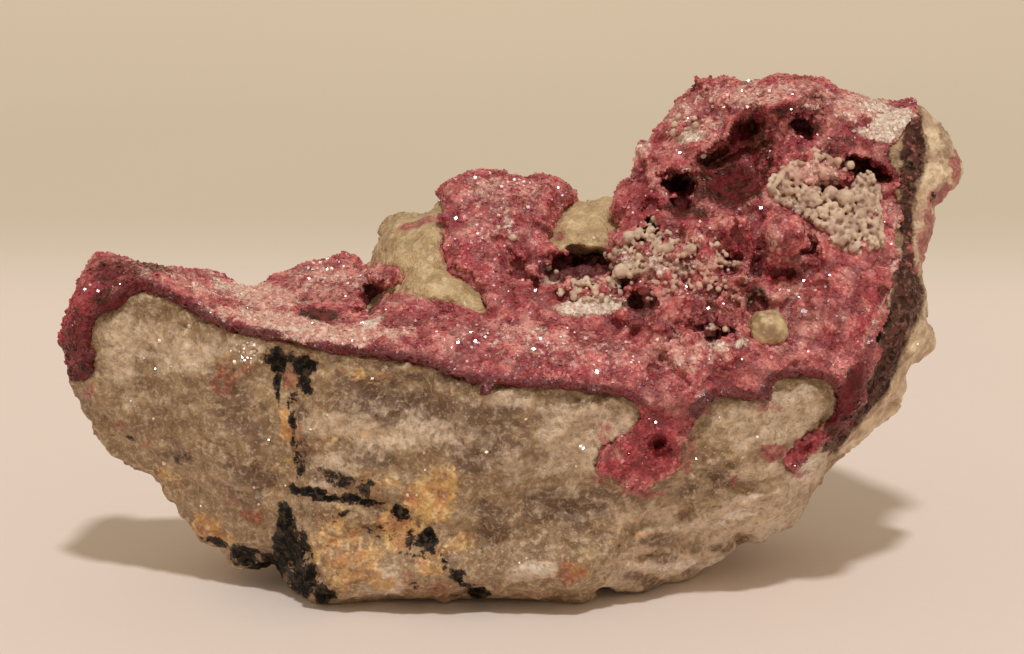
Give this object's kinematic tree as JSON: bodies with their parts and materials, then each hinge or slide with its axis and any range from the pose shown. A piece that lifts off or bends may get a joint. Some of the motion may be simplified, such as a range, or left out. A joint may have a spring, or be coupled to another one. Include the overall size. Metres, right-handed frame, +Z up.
{
  "type": "cobaltoan dolomite specimen",
  "caption": "Boat-shaped cabinet mineral specimen: pale massive dolomite rock carrying a pink cobaltoan dolomite druse, with pale botryoids and a cream nodule, resting on a flat base patch.",
  "frame": {"origin": "centre of the footprint of the overall box, on the surface that the specimen rests on", "axes": "+Z up, +X along the specimen's length towards its high right lobe, -Y towards the side that shows the broken rock face and the pink druse"},
  "size_m": [0.1402, 0.0636, 0.0765],
  "materials": {
    "pale_rock": "rough broken massive dolomite, cream to grey with iron and manganese stains",
    "pink_druse": "sparkling druse of tiny rhombohedral crystals, raspberry pink to pale pink",
    "pale_botryoid": "dull greyish white botryoidal grains",
    "cream_dolomite": "waxy cream dolomite"
  },
  "bodies": {
    "root": {"matrix": "pale_rock", "pink_crust": "pink_druse", "pale_botryoids": "pale_botryoid", "cream_nodule": "cream_dolomite"}
  },
  "joints": []
}
